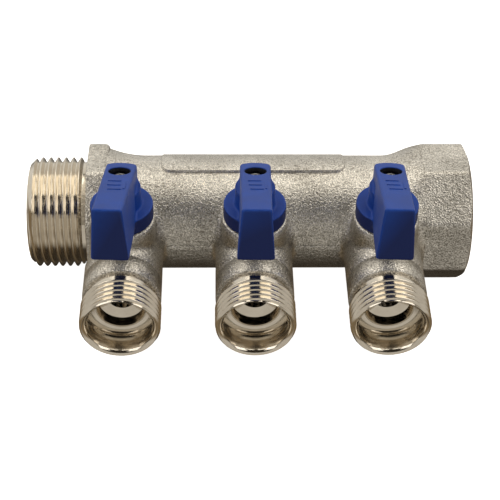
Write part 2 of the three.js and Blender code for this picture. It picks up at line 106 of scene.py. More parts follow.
def ring(name, along, radius, axis, centre=(0, 0, 0), columns=128, sharpAngle=50):
    # A closed ring of revolution: along and radius hold one row for each profile point, in the order
    # inside-back, outside, end face, inside, and a column for each angle where the radius varies with it.
    along, radius = np.asarray(along, float), np.asarray(radius, float)
    if along.ndim == 1:
        along = along[:, None]
    if radius.ndim == 1:
        radius = radius[:, None]
    turn = 2 * np.pi * np.arange(columns)[None, :] / columns
    a = np.broadcast_to(along, (len(along), columns))
    u, v = radius * np.cos(turn), radius * np.sin(turn)
    points = {
        "x": np.stack([a, u, v], -1),
        "y": np.stack([u, -a, v], -1),
        "z": np.stack([u, v, a], -1),
    }[axis].reshape(-1, 3) + np.array(centre)
    faces = gridFaces(len(along), columns, wrapRows=True)
    outward = faces[:, ::-1]   # all three arrangements are right-handed for this order
    return newMesh(name, points, outward, sharpAngle=sharpAngle)


def smoothMin(a, b, width):
    # the lesser of two distances, rounded off where they are within a width of each other
    h = np.clip(0.5 + 0.5 * (b - a) / width, 0, 1)
    return b + (a - b) * h - width * h * (1 - h)


def smoothMax(a, b, width):
    # the greater of two distances, rounded off in the same way
    return -smoothMin(-a, -b, width)


def gradient(distance, points):
    # slope of the distance function in each direction, from its values a step to either side
    e = 0.01
    steps = [distance(points + np.array(s) * e) - distance(points - np.array(s) * e)
             for s in ((1, 0, 0), (0, 1, 0), (0, 0, 1))]
    return np.stack(steps, -1) / (2 * e)


def skin(name, distance, low, high, step):
    # The surface where a distance function is nought. A vertex stands in each cell of a lattice that the
    # surface crosses, first at the mean of the crossings on the cell's edges, then moved onto the surface
    # along the function's gradient, which also gives the normal. A quad joins the four cells round
    # each crossed lattice edge.
    axes = [np.arange(a, b + step, step) for a, b in zip(low, high)]
    lattice = np.stack(np.meshgrid(*axes, indexing="ij"), -1)
    field = distance(lattice.reshape(-1, 3)).reshape(lattice.shape[:3])
    inside = field < 0
    cells = np.array(field.shape) - 1
    total, hits = np.zeros((*cells, 3)), np.zeros(cells)
    crossings = []
    for axis in range(3):
        first = [slice(None)] * 3
        second = [slice(None)] * 3
        first[axis], second[axis] = slice(None, -1), slice(1, None)
        first, second = tuple(first), tuple(second)
        where = np.argwhere(inside[first] != inside[second])
        crossings.append(where)
        a, b = field[first][tuple(where.T)], field[second][tuple(where.T)]
        at = lattice[tuple(where.T)].copy()
        at[:, axis] += step * a / (a - b)
        others = [k for k in range(3) if k != axis]
        for back in ((0, 0), (1, 0), (0, 1), (1, 1)):
            cell = where.copy()
            cell[:, others] -= np.array(back)
            good = ((cell >= 0) & (cell < cells)).all(1)
            np.add.at(total, tuple(cell[good].T), at[good])
            np.add.at(hits, tuple(cell[good].T), 1)
    used = hits > 0
    number = np.full(cells, -1)
    number[used] = np.arange(used.sum())
    points = total[used] / hits[used][:, None]
    start = points.copy()
    for repeat in range(4):
        slope = gradient(distance, points)
        points -= slope * (distance(points) / np.maximum((slope ** 2).sum(1), 0.05))[:, None]
        points = np.clip(points, start - step * 0.6, start + step * 0.6)
    faces = []
    for axis, where in enumerate(crossings):
        b, c = [(1, 2), (2, 0), (0, 1)][axis]
        inner = (where[:, b] > 0) & (where[:, c] > 0) & (where[:, b] < cells[b]) & (where[:, c] < cells[c])
        where = where[inner]
        quad = []
        for back in ((1, 1), (0, 1), (0, 0), (1, 0)):
            cell = where.copy()
            cell[:, b] -= back[0]
            cell[:, c] -= back[1]
            quad.append(number[tuple(cell.T)])
        quad = np.stack(quad, -1)
        solidFirst = inside[tuple(where.T)]
        faces.append(np.where(solidFirst[:, None], quad, quad[:, ::-1]))
    normals = gradient(distance, points)
    normals /= np.linalg.norm(normals, axis=1)[:, None]
    print(f"{name}: {len(points)} points")
    return newMesh(name, points, np.concatenate(faces), normals)


def finish(piece, body, nodes, material):
    # one piece's body, its slot, the nodes it stands for and its material
    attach(piece, body)
    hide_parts(*nodes)
    piece.data.materials.clear()
    piece.data.materials.append(material)
    return piece


# ---- shader maths as Python expressions

class Value:
    # a socket whose arithmetic adds Math nodes

    def __init__(self, tree, socket):
        self.tree, self.socket = tree, socket

    def math(self, operation, *others):
        node = self.tree.nodes.new("ShaderNodeMath")
        node.operation = operation
        for place, item in enumerate((self, *others)):
            if isinstance(item, Value):
                self.tree.links.new(item.socket, node.inputs[place])
            else:
                node.inputs[place].default_value = item
        return Value(self.tree, node.outputs[0])

    def __add__(self, other):
        return self.math("ADD", other)

    def __mul__(self, other):
        return self.math("MULTIPLY", other)

    def __sub__(self, other):
        return self.math("SUBTRACT", other)

    def __rsub__(self, other):
        return (self * -1).math("ADD", other)

    def __truediv__(self, other):
        return self.math("DIVIDE", other)

    __radd__ = __add__
    __rmul__ = __mul__

    def clamped(self):
        return self.math("MINIMUM", 1).math("MAXIMUM", 0)


class Finish:
    # one material's node tree, with its shader and one method for any other node

    def __init__(self, name, **uniform):
        self.material = bpy.data.materials.new(name)
        self.material.use_nodes = True
        self.tree = self.material.node_tree
        self.shader = self.tree.nodes["Principled BSDF"]
        for socket, value in uniform.items():
            self.shader.inputs[socket.replace("_", " ")].default_value = value
        self.place = self.node("ShaderNodeTexCoord", out="Object")

    def node(self, kind, settings=None, out=0, **inputs):
        node = self.tree.nodes.new(kind)
        for name, value in (settings or {}).items():
            setattr(node, name, value)
        for name, value in inputs.items():
            # a name such as i6 stands for the socket's number, where several sockets share a name
            numbered = name[0] == "i" and name[1:].isdigit()
            socket = node.inputs[int(name[1:]) if numbered else name]
            if isinstance(value, Value):
                self.tree.links.new(value.socket, socket)
            else:
                socket.default_value = value
        return Value(self.tree, node.outputs[out])

    def noise(self, scale, detail, roughness, place=None):
        return self.node("ShaderNodeTexNoise", Vector=place or self.place, Scale=scale, Detail=detail,
                         Roughness=roughness)

    def stretched(self, scale):
        return self.node("ShaderNodeMapping", Vector=self.place, Scale=scale)

    def mix(self, share, first, second):
        return self.node("ShaderNodeMix", {"data_type": "RGBA"}, out=2, i0=share, i6=first, i7=second)

    def along(self, axis):
        return self.node("ShaderNodeSeparateXYZ", out=axis, Vector=self.place)

    def set(self, socket, value):
        self.tree.links.new(value.socket, self.shader.inputs[socket])

    def bump(self, height, distance, strength=1.0, under=None):
        inputs = {"Height": height, "Distance": distance, "Strength": strength}
        if under is not None:
            inputs["Normal"] = under
        return self.node("ShaderNodeBump", **inputs)


def spread(value, low, high):
    # 0 below the low value, 1 above the high one, straight between them
    return ((value - low) / (high - low)).clamped()


forgedNickel = {"light": (0.83, 0.80, 0.745, 1), "dark": (0.27, 0.25, 0.22, 1), "roughness": (0.27, 0.42),
                "grain": 2600, "grainHeight": 0.00013, "pits": 1300, "pitHeight": 1.7 * 0.00013, "mottle": 90,
                "speckShare": 0.72}


def forgedMaterial():
    # blasted and plated forging: a crisp sandy speckle over faint clouds
    s = forgedNickel
    f = Finish("nickel_forged", Metallic=1.0, IOR=1.45)
    grain = f.noise(s["grain"], 2, 0.5)
    pits = f.noise(s["pits"], 2, 0.6)
    mottle = f.noise(s["mottle"], 3, 0.5)
    speck = spread(grain * 0.6 + pits * 0.4, 0.40, 0.58)
    clouds = spread(mottle, 0.35, 0.65)
    shade = (speck * s["speckShare"] + clouds * (1 - s["speckShare"])).clamped()
    f.set("Base Color", f.mix(shade, s["dark"], s["light"]))
    low, high = s["roughness"]
    f.set("Roughness", low + (high - low) * (1 - speck))
    rough = f.bump(grain, s["grainHeight"], 1.0)
    f.set("Normal", f.bump(pits, s["pitHeight"], 0.8, rough))
    return f.material


machinedNickel = {"light": (0.80, 0.745, 0.655, 1), "dark": (0.66, 0.60, 0.51, 1), "roughness": (0.07, 0.18),
                  "lines": 9000, "across": 40.0, "lineHeight": 0.000012, "stain": 220, "lineShare": 0.35}


def machinedMaterial(name, axis):
    # turned metal: fine rings round the axis that the tool ran along
    s = machinedNickel
    f = Finish(name, Metallic=1.0, IOR=1.45)
    scale = [s["across"]] * 3
    scale[axis] = s["lines"]
    lines = f.noise(1.0, 2, 0.5, f.stretched(scale))
    stain = f.noise(s["stain"], 4, 0.6)
    shade = (lines * s["lineShare"] + spread(stain, 0.3, 0.7) * (1 - s["lineShare"])).clamped()
    f.set("Base Color", f.mix(shade, s["dark"], s["light"]))
    low, high = s["roughness"]
    f.set("Roughness", low + (high - low) * (1 - shade))
    f.set("Normal", f.bump(lines, s["lineHeight"], 0.6))
    return f.material


# painted shade: the hole colour stands for the shade in the hole over each screw, and the colour before it
# for the shade on the lever's front and the skirt's side
bluePlastic = {"light": (0.012, 0.060, 0.350, 1), "dark": (0.009, 0.046, 0.275, 1),
               "paintedShade": (0.011, 0.024, 0.125, 1), "hole": (0.004, 0.005, 0.012, 1),
               "roughness": (0.42, 0.52), "holeRadius": 3.05, "holeFloor": 27.0, "front": 29.6,
               "skirtTop": 20.1}


def plasticMaterial():
    # satin moulding, with painted shade: nearly black in the hole over each screw, darker on its front and
    # the skirt's side
    s = bluePlastic
    f = Finish("handle_blue", IOR=1.5, Specular_IOR_Level=0.2)
    cloud = f.noise(160, 3, 0.5)
    grain = f.noise(3800, 2, 0.5)
    plain = f.mix(spread(cloud, 0.3, 0.7), s["dark"], s["light"])
    x, y, z = (f.along(axis) * 1000 for axis in range(3))
    axisX, axisY, axisZ = (k * 1000 for k in barAxis)
    # how far a point lies behind the stems and above the bar's axis
    behind = y - (axisY + stemY)
    height = z - axisZ
    inside = 0
    for side in sides:
        beside = x - (axisX + stemX[side])
        away = (beside * beside + behind * behind).math("SQRT")
        inside = (1 - spread(away, s["holeRadius"], s["holeRadius"] + 0.2)) + inside
    # painted shade in the hole over each screw, above a height just under the hole's floor
    paintedHoleShade = (inside * spread(height, s["holeFloor"], s["holeFloor"] + 0.5)).clamped()
    # painted shade on the lever's front face and below the skirt's top, where less light falls
    front = spread(behind * -1, s["front"], s["front"] + 0.4)
    low = 1 - spread(height, s["skirtTop"], s["skirtTop"] + 0.3)
    paintedShade = f.mix((front + low).clamped(), plain, s["paintedShade"])
    f.set("Base Color", f.mix(paintedHoleShade, paintedShade, s["hole"]))
    low, high = s["roughness"]
    f.set("Roughness", low + (high - low) * cloud)
    f.set("Normal", f.bump(grain, 0.00002, 0.5))
    return f.material


def plainMaterial(name, colour, metallic, roughness, grainScale, grainHeight):
    # one colour with faint darker clouds and a fine grain
    f = Finish(name, Metallic=metallic)
    cloud = f.noise(grainScale / 8, 3, 0.5)
    grain = f.noise(grainScale, 2, 0.5)
    darker = tuple(c * 0.78 for c in colour[:3]) + (1,)
    f.set("Base Color", f.mix(cloud, darker, colour))
    f.set("Roughness", roughness + 0.12 * (grain - 0.5))
    f.set("Normal", f.bump(grain, grainHeight, 0.5))
    return f.material


forged = forgedMaterial()
turnedX = machinedMaterial("nickel_turned_x", 0)
turnedY = machinedMaterial("nickel_turned_y", 1)
blue = plasticMaterial()
steel = plainMaterial("screw_steel", (0.85, 0.85, 0.83, 1), 1.0, 0.42, 5000, 0.00001)
chrome = plainMaterial("ball_chrome", (0.83, 0.83, 0.84, 1), 1.0, 0.08, 5000, 0.000004)
brass = plainMaterial("stem_brass", (0.78, 0.60, 0.30, 1), 1.0, 0.28, 4000, 0.00001)
ptfe = plainMaterial("seat_ptfe", (0.88, 0.88, 0.85, 1), 0.0, 0.5, 3000, 0.00001)
rubber = plainMaterial("oring_rubber", (0.018, 0.018, 0.018, 1), 0.0, 0.6, 3000, 0.00002)
print("materials made")


# ---- the forging: bar with its flared ends, barrels and towers

bar = {"radius": 17.2, "bore": 12.8, "from": -48.0, "to": 50.7, "sweepFrom": -43.2, "sweep": 11.0,
       "sweepRise": 2.1, "flareFrom": 39.1, "flareSlope": 0.41, "flareBend": 4.5, "flatsEdge": 0.7,
       "boxHalf": 20.8, "step": 0.76}
barrel = {"radius": 11.28, "end": 28.6, "chamber": 9.3, "floor": 14.0, "port": 4.0}
tower = {"radius": 9.37, "top": 14.9, "bore": 3.6, "edge": 0.5}
blends = {"barToBarrel": 2.6, "barrelToTower": 0.7, "barToTower": 3.8, "over": 10}
flatAngles = np.radians(45 * np.arange(8) - octagonLean)


def flare(x):
    # a slope that builds up over a bend and then runs straight, past the octagon's corners
    along = np.maximum(x - bar["flareFrom"], 0)
    bent = np.minimum(along, bar["flareBend"])
    return bar["radius"] + bar["flareSlope"] * (bent ** 2 / (2 * bar["flareBend"]) + along - bent)


def forgingDistance(p):
    # the bar within its flats, blended with the barrels and towers, less the water way and the bores
    x, y, z = p[:, 0], p[:, 1], p[:, 2]
    away = np.hypot(y, z)
    # parabola falling from the collar, steep at first and level where it meets the bar
    share = np.clip(1 - (x - bar["sweepFrom"]) / bar["sweep"], 0, 1)
    outside = flare(x) + bar["sweepRise"] * share ** 2
    flats = (y[:, None] * np.cos(flatAngles) + z[:, None] * np.sin(flatAngles)).max(1) - octagonHalf
    barSide = smoothMax(away - outside, flats, bar["flatsEdge"])
    valves = np.full(len(p), 1e3)
    holes = np.full(len(p), 1e3)
    for side in sides:
        dx = x - stemX[side]
        fromBarrel = np.hypot(dx, z)
        fromStem = np.hypot(dx, y - stemY)
        body = np.maximum(fromBarrel - barrel["radius"], np.maximum(-y - barrel["end"], y))
        mast = smoothMax(fromStem - tower["radius"], z - tower["top"], tower["edge"])
        mast = np.maximum(mast, -z)
        valves = np.minimum(valves, smoothMin(body, mast, blends["barrelToTower"]))
        chamber = np.maximum(fromBarrel - barrel["chamber"], y + barrel["floor"])
        port = np.maximum(fromBarrel - barrel["port"], y)
        stemBore = np.maximum(fromStem - tower["bore"], -z)
        holes = np.minimum(holes, np.minimum(chamber, np.minimum(port, stemBore)))
    # the blend grows from the barrels up to the towers
    grow = np.clip(z / blends["over"], 0, 1)
    reach = blends["barToBarrel"] + (blends["barToTower"] - blends["barToBarrel"]) * grow
    shape = smoothMin(barSide, valves, reach)
    shape = np.maximum(shape, np.maximum(bar["from"] - x, x - bar["to"]))
    return np.maximum(np.maximum(shape, bar["bore"] - away), -holes)


low = (bar["from"] - 1, -barrel["end"] - 1.2, -bar["boxHalf"])
high = (bar["to"] + 1.1, bar["boxHalf"], bar["boxHalf"])
forging = skin("forging", forgingDistance, low, high, bar["step"])
finish(forging, "manifold", ["manifold_body"], forged)
print("forging made")


# ---- threads

def threadForm(phase):
    # rounded pipe thread: 0 at the root and 1 at the crest
    flat = 0.07
    ramp = np.clip((1 - np.abs(2 * (phase % 1) - 1) - flat) / (1 - 2 * flat), 0, 1)
    straight = 0.7
    return straight * ramp + (1 - straight) / 2 * (1 - np.cos(np.pi * ramp))


def threadRadius(along, columns, root, depth, pitch, start, end, fade, ahead=0.0):
    # radius over a helix, fading out over a part of a pitch at both ends; one column for each angle
    turn = np.arange(columns)[None, :] / columns
    a = np.asarray(along)[:, None]
    form = threadForm((a - start) / pitch - turn + ahead)
    grow = np.clip((a - start) / fade, 0, 1) * np.clip((end - a) / fade, 0, 1)
    return root + depth * form * grow


maleThread = {"crest": 16.6, "depth": 1.479, "pitch": 2.309, "run": 1.5, "bore": 12.8, "ahead": 0.19,
              "fade": 0.7, "chamferFrom": 0.4, "mouth": 0.5, "inCollar": 3, "columns": 320, "step": 0.11}
collar = {"from": -49.3, "to": -43.1, "corner": 70, "edge": 0.5, "innerEdge": 1.3, "columns": 384}


def octagonRadius(columns, sharpness):
    # eight flats leaning back; the corners are rounded by a high power mean
    turn = 2 * np.pi * np.arange(columns) / columns
    flats = np.cos(turn[:, None] - flatAngles[None, :])
    return octagonHalf / (np.maximum(flats, 0) ** sharpness).sum(1) ** (1 / sharpness)


def makeMaleEnd():
    # the thread's radius is cut down by a chamfer that rises as fast as it runs from the end face
    t = maleThread
    columns = t["columns"]
    start, end = maleEndX, collar["from"] - t["run"]
    root = t["crest"] - t["depth"]
    threadX = np.arange(start + 0.02, end, t["step"])
    thread = threadRadius(threadX, columns, root, t["depth"], t["pitch"], start, end, t["fade"], t["ahead"])
    chamfer = root - t["chamferFrom"] + (threadX - start)
    thread = np.minimum(thread, chamfer[:, None])
    rows = [(collar["from"] + t["inCollar"], t["bore"]), (start + t["mouth"], t["bore"]),
            (start, t["bore"] + t["mouth"]), (start, root - t["chamferFrom"])]
    x = [r[0] for r in rows] + list(threadX) + [end, collar["from"] + t["inCollar"]]
    r = [np.full(columns, row[1]) for row in rows] + list(thread) + [np.full(columns, root)] * 2
    return ring("male_thread", x, np.stack(r), "x", columns=columns)


def makeCollar():
    # an octagonal ring with rounded edges, rounder on the side of the bar
    columns = collar["columns"]
    flats = octagonRadius(columns, collar["corner"])
    curve = np.linspace(0, np.pi / 2, 7)
    inner = np.full(columns, maleThread["crest"] - maleThread["depth"] - 0.4)
    x, r = [collar["from"]], [inner]
    for place, edge, inward, order in ((collar["from"], collar["edge"], 1, curve),
                                       (collar["to"], collar["innerEdge"], -1, curve[::-1])):
        for angle in order:
            x.append(place + inward * edge * (1 - math.cos(angle)))
            r.append(flats - edge * (1 - math.sin(angle)))
    x.append(collar["to"])
    r.append(inner)
    return ring("collar_octagon", x, np.stack(r), "x", columns=columns, sharpAngle=60)


finish(makeMaleEnd(), "manifold", ["manifold_body"], turnedX)
finish(makeCollar(), "manifold", ["manifold_body"], forged)

socket = {"from": 50.4, "inner": 17.6, "corner": 90, "face": 18.6, "slope": 2.5 / 1.2, "coneLength": 3,
          "coneEdge": 0.3, "mouth": 16.47, "root": 16.35, "depth": 1.2, "fade": 0.9, "entry": 1.3,
          "threadLength": 11.6, "bore": 12.8, "columns": 384, "step": 0.14}


def makeSocket():
    # outside, the least of the octagon's flats, the flare and the end's chamfer; inside, the thread
    s = socket
    columns = s["columns"]
    flats = octagonRadius(columns, s["corner"])
    x = [s["from"]]
    r = [np.full(columns, s["inner"])]
    coneFrom = femaleEndX - s["coneLength"]
    places = [np.linspace(s["from"], coneFrom, 36), np.linspace(coneFrom + 0.1, femaleEndX, 50)]
    for place in np.concatenate(places):
        cone = s["face"] + (femaleEndX - place) * s["slope"]
        turned = np.full(columns, min(cone, float(flare(np.array(place)))))
        width = bar["flatsEdge"] if place < coneFrom - 2 else s["coneEdge"]
        x.append(place)
        r.append(smoothMin(flats, turned, width) if place < femaleEndX else turned)
    x.append(femaleEndX)
    r.append(np.full(columns, s["mouth"]))
    end = femaleEndX - s["entry"]
    start = end - s["threadLength"]
    threadX = np.arange(end, start, -s["step"])
    pitch = maleThread["pitch"]
    r += list(threadRadius(threadX, columns, s["root"], -s["depth"], pitch, start, end + 0.01, s["fade"]))
    x += list(threadX) + [start - 0.1, start - 0.1, s["from"]]
    r += [np.full(columns, s["root"]), np.full(columns, s["bore"]), np.full(columns, s["bore"])]
    return ring("female_socket", x, np.stack(r), "x", columns=columns, sharpAngle=60)


finish(makeSocket(), "manifold", ["manifold_body"], forged)
print("ends made")


# ---- plate and parting band on the bar

plate = {"halfLength": 27.5, "front": -2.3, "back": 12.5, "corner": 3.2, "raise": 0.95, "sink": 0.7,
         "edge": 0.42, "skirt": 0.3, "under": 0.6, "step": 0.2, "columns": 90}


def makePlate():
    # A rounded oblong wrapped on the bar, falling to the bar's surface over its edge's width. Its height
    # above the bar lessens from its front to its back.
    s = plate
    x = np.arange(-s["halfLength"] - s["skirt"], s["halfLength"] + s["skirt"] + 0.01, s["step"])
    arcs = np.arcsin(np.array([s["front"] - s["skirt"], s["back"] + s["skirt"]]) / bar["radius"])
    arc = np.linspace(arcs[0], arcs[1], s["columns"])
    gx, ga = np.meshgrid(x, arc, indexing="ij")
    gy = bar["radius"] * np.sin(ga)
    middle, half = (s["front"] + s["back"]) / 2, (s["back"] - s["front"]) / 2
    dx = np.abs(gx) - (s["halfLength"] - s["corner"])
    dy = np.abs(gy - middle) - (half - s["corner"])
    # distance to the oblong's outline, less than nought inside it
    edge = np.hypot(np.maximum(dx, 0), np.maximum(dy, 0)) + np.minimum(np.maximum(dx, dy), 0) - s["corner"]
    share = np.clip(-edge / s["edge"] + 0.15, 0, 1)
    flatter = 1 - s["sink"] * np.clip((gy - s["front"]) / (s["back"] - s["front"]), 0, 1)
    lift = s["raise"] * flatter * share * share * (3 - 2 * share)
    top = bar["radius"] - 0.04 + lift
    bottom = top - lift - s["under"]
    points = np.stack([gx, top * np.sin(ga), top * np.cos(ga)], -1).reshape(-1, 3)
    below = np.stack([gx, bottom * np.sin(ga), bottom * np.cos(ga)], -1).reshape(-1, 3)
    rows, columns = gx.shape
    upper = gridFaces(rows, columns, wrapColumns=False)[:, ::-1]
    lower = gridFaces(rows, columns, wrapColumns=False) + rows * columns
    edgeLoop = np.concatenate([
        np.arange(columns), np.arange(1, rows) * columns + columns - 1,
        (rows - 1) * columns + np.arange(columns - 2, -1, -1), np.arange(rows - 2, 0, -1) * columns])
    after = np.roll(edgeLoop, -1)
    rim = np.stack([edgeLoop, after, after + rows * columns, edgeLoop + rows * columns], -1)
    return newMesh("top_plate", np.concatenate([points, below]), np.concatenate([upper, lower, rim]))


finish(makePlate(), "manifold", ["manifold_body"], forged)

band = {"bottom": -0.7, "top": 1.3, "proud": 0.4, "sunk": 0.9, "edge": 0.25, "fromStem": 8, "rows": 40}


def makeBand(name, fromX, toX):
    # trimmed flash of the forging's parting line: a flat strip with rounded edges, run along the bar
    s = band
    outer = -(bar["radius"] + s["proud"])
    inner = -(bar["radius"] - s["sunk"])
    e = s["edge"]
    curve = np.linspace(0, np.pi / 2, 4)
    lowY, lowZ = outer + e * (1 - np.sin(curve)), s["bottom"] + e * (1 - np.cos(curve))
    topY, topZ = outer + e * (1 - np.cos(curve)), s["top"] - e * (1 - np.sin(curve))
    y = np.concatenate([[inner], lowY, topY, [inner]])
    z = np.concatenate([[s["bottom"]], lowZ, topZ, [s["top"]]])
    x = np.linspace(fromX, toX, s["rows"])
    points = np.stack(np.broadcast_arrays(x[:, None], y, z), -1).reshape(-1, 3)
    return newMesh(name, points, gridFaces(s["rows"], len(y)))


for left, right in ((sides[0], sides[1]), (sides[1], sides[2])):
    strip = makeBand("parting_band_" + left, stemX[left] + band["fromStem"], stemX[right] - band["fromStem"])
    finish(strip, "manifold", ["manifold_body"], forged)
print("plate made")


# ---- valves: turned faces, nipples, handles, screws

rim = {"top": 15.3, "depth": 3.4, "radius": 9.4, "bore": 3.6, "edge": 0.5}
barrelEnd = {"from": 27.2, "to": 31.9, "radius": 11.3, "bore": 9.3, "edge": 0.15}


def makeTowerRim(side):
    # ring with a chamfered outer edge, on top of the tower
    s = rim
    bottom = s["top"] - s["depth"]
    a = [bottom, bottom, s["top"] - s["edge"], s["top"], s["top"]]
    r = [s["bore"], s["radius"], s["radius"], s["radius"] - s["edge"], s["bore"]]
    return ring("tower_rim_" + side, a, r, "z", (stemX[side], stemY, 0))


def makeBarrelEnd(side):
    # ring with a chamfered outer edge, at the barrel's end
    s = barrelEnd
    a = [s["from"], s["from"], s["to"] - s["edge"], s["to"], s["to"]]
    r = [s["bore"], s["radius"], s["radius"], s["radius"] - s["edge"], s["bore"]]
    return ring("barrel_end_" + side, a, r, "y", (stemX[side], 0, 0))


nipple = {"spigot": 9.0, "spigotFrom": 24.7, "flangeFrom": 32.0, "flangeTo": 38.5, "flange": 11.3,
          "flangeEdges": (0.15, 0.3), "sunk": 0.6, "relief": 10.2, "threadFrom": 40.9, "threadTo": 49.97,
          "crest": 11.4555, "depth": 1.162, "pitch": 1.814, "fade": 0.6, "mouth": 50.42, "mouthRadius": 10.85,
          "bore": 9.4, "chamfer": 1.15, "shoulder": 42.32, "lip": (7.9, 7.65), "lipDepth": 0.25, "step": 6.9,
          "cone": 39.2, "coneRadius": 6.5, "coneAngle": 60, "port": 4.0, "cup": 7.7, "cupFloor": 26.4,
          "columns": 288, "rowStep": 0.1}


def makeFlange(side):
    # ring with a chamfer at each end, sunk into the nipple's turned part
    s = nipple
    first, last = s["flangeEdges"]
    start, end = s["flangeFrom"], s["flangeTo"]
    a = [start, start, start + first, end - last, end, end]
    r = [s["spigot"] - s["sunk"], s["flange"] - first, s["flange"], s["flange"], s["flange"] - last,
         s["relief"] - s["sunk"]]
    return ring("nipple_flange_" + side, a, r, "y", (stemX[side], 0, 0))


def makeNipple(side):
    # profile round the outlet: spigot, relief, thread, mouth, tail bore, step, cone, port and cup
    s = nipple
    columns = s["columns"]
    root = s["crest"] - s["depth"]
    shoulder = s["flangeFrom"] + 0.5
    outside = [(s["spigotFrom"], s["spigot"]), (shoulder, s["spigot"]), (shoulder, s["relief"]),
               (s["threadFrom"] - 0.05, s["relief"])]
    threadA = np.arange(s["threadFrom"], s["threadTo"], s["rowStep"])
    end = s["threadTo"] + 0.4
    thread = threadRadius(threadA, columns, root, s["depth"], s["pitch"], s["threadFrom"], end, s["fade"])
    coneEnd = s["cone"] - (s["coneRadius"] - s["port"]) / math.tan(math.radians(s["coneAngle"]))
    step = s["shoulder"] - s["lipDepth"]
    inside = [
        (s["mouth"] - 0.25, s["mouthRadius"]), (s["mouth"], s["mouthRadius"] - 0.2),
        (s["mouth"], s["bore"] + s["chamfer"]), (s["mouth"] - s["chamfer"], s["bore"]),
        (s["shoulder"], s["bore"]), (s["shoulder"], s["lip"][0]), (step, s["lip"][1]), (step, s["step"]),
        (s["cone"], s["coneRadius"]), (coneEnd, s["port"]),
        (s["cupFloor"], s["port"]), (s["cupFloor"], s["cup"]), (s["spigotFrom"], s["cup"])]
    a = [k[0] for k in outside] + list(threadA) + [k[0] for k in inside]
    rows = [np.full(columns, k[1]) for k in outside] + list(thread) + [np.full(columns, k[1]) for k in inside]
    return ring("nipple_" + side, a, np.stack(rows), "y", (stemX[side], 0, 0), columns)


handle = {"skirt": 9.0, "skirtFrom": 15.6, "skirtTo": 20.5, "skirtEdge": 0.5, "skirtBlend": 0.8, "hub": 5.7,
          "hubTop": 26.6, "hubBlend": 0.7, "back": 7.3, "heelRadius": 7.35, "heel": 26.2, "heelTo": 4,
          "reach": 29.8, "tip": 30.2, "topBack": 29.6, "topFront": 43.4, "tipHeight": 26.0, "widthBack": 8.8,
          "widthFront": 7.9, "widthTip": 10.2, "edge": 0.9, "underEdge": 0.63, "hole": 3.05, "floor": 28.0,
          "holeEdge": 0.45, "socket": 2.6, "socketTop": 26.5, "step": 0.36}
leverSlope = (handle["topFront"] - handle["topBack"]) / (handle["reach"] + handle["back"])


def leverTop(forward):
    # height of the lever's sloping top
    return handle["topBack"] + leverSlope * (forward + handle["back"])


marks = {"forward": (7.8, 11.0, 14.2), "across": (-0.4, -0.2, 0.2), "halfLength": 1.8, "halfWidth": 0.4,
         "upright": (2.7, 9.2, 14.2), "uprightHalf": 0.28, "proud": 0.16, "sunk": 0.3}


def handleDistance(side):
    s = handle
    cosine = 1 / math.hypot(1, leverSlope)
    faceHeight = s["topFront"] - s["tipHeight"]
    tipSpread = (s["widthTip"] - s["widthFront"]) / faceHeight
    lean = (s["tip"] - s["reach"]) / faceHeight

    def distance(p):
        # the lesser of lever, hub and skirt, less the screw's hole and the stem's socket
        x, y, z = stemPlace(p, side)
        forward = -y
        away = np.hypot(x, y)
        topZ = leverTop(forward)
        top = (z - topZ) * cosine
        share = np.clip((forward + s["back"]) / (s["reach"] + s["back"]), 0, 1)
        width = s["widthBack"] + (s["widthFront"] - s["widthBack"]) * share
        # towards the front it also widens downwards
        width = width + tipSpread * np.clip(forward / s["reach"], 0, 1) * np.maximum(topZ - z, 0)
        flank = np.abs(x) - width / 2
        front = forward - s["reach"] - (s["topFront"] - z) * lean
        underZ = s["tipHeight"] + leverSlope * (forward - s["tip"])
        under = np.where(forward > s["heelTo"], (underZ - z) * cosine, s["heel"] - z)
        rounded = np.where(y > 0, away, 0) - s["heelRadius"]
        heel = np.maximum(y - s["back"], rounded)
        lever = smoothMax(top, flank, s["edge"])
        lever = smoothMax(lever, front, s["edge"])
        lever = smoothMax(lever, heel, s["edge"])
        lever = smoothMax(lever, under, s["underEdge"])
        hub = np.maximum(away - s["hub"], np.maximum(s["skirtTo"] - 1 - z, z - s["hubTop"]))
        skirt = np.maximum(z - s["skirtTo"], s["skirtFrom"] - z)
        skirt = smoothMax(away - s["skirt"], skirt, s["skirtEdge"])
        shape = smoothMin(smoothMin(lever, hub, s["hubBlend"]), skirt, s["skirtBlend"])
        hole = np.maximum(away - s["hole"], s["floor"] - z)
        shape = smoothMax(shape, -hole, s["holeEdge"])
        socketWay = np.maximum(np.maximum(np.abs(x), np.abs(y)) - s["socket"], z - s["socketTop"])
        return np.maximum(shape, -socketWay)

    return distance


def makeHandle(side):
    # the handle's skin, in a box a little larger than it
    x, y = stemX[side], stemY
    s = handle
    low = (x - s["skirt"] - 0.6, y - s["tip"] - 0.7, s["skirtFrom"] - 0.6)
    high = (x + s["skirt"] + 0.6, y + s["skirt"] + 0.7, s["topFront"] + 0.6)
    return skin("lever_" + side, handleDistance(side), low, high, s["step"])


def makeMarks(side):
    # plain raised bars on the lever's sloping top: three across it and one along it
    s = marks
    turn = math.radians(handleSet[side])
    blocks = [(a - s["halfLength"], a + s["halfLength"], f - s["halfWidth"], f + s["halfWidth"])
              for f, a in zip(s["forward"], s["across"])]
    across, near, far = s["upright"]
    blocks.append((across - s["uprightHalf"], across + s["uprightHalf"], near, far))
    points, faces = [], []
    for left, right, near, far in blocks:
        for lift in (-s["sunk"], s["proud"]):
            for x, forward in ((left, near), (right, near), (right, far), (left, far)):
                points.append((stemX[side] + math.cos(turn) * x + math.sin(turn) * forward,
                               stemY + math.sin(turn) * x - math.cos(turn) * forward,
                               leverTop(forward) + lift))
        k = len(points) - 8
        faces += [(k, k + 1, k + 2, k + 3), (k + 4, k + 7, k + 6, k + 5), (k, k + 4, k + 5, k + 1),
                  (k + 1, k + 5, k + 6, k + 2), (k + 2, k + 6, k + 7, k + 3), (k + 3, k + 7, k + 4, k)]
    return newMesh("lever_marks_" + side, points, faces, sharpAngle=30)


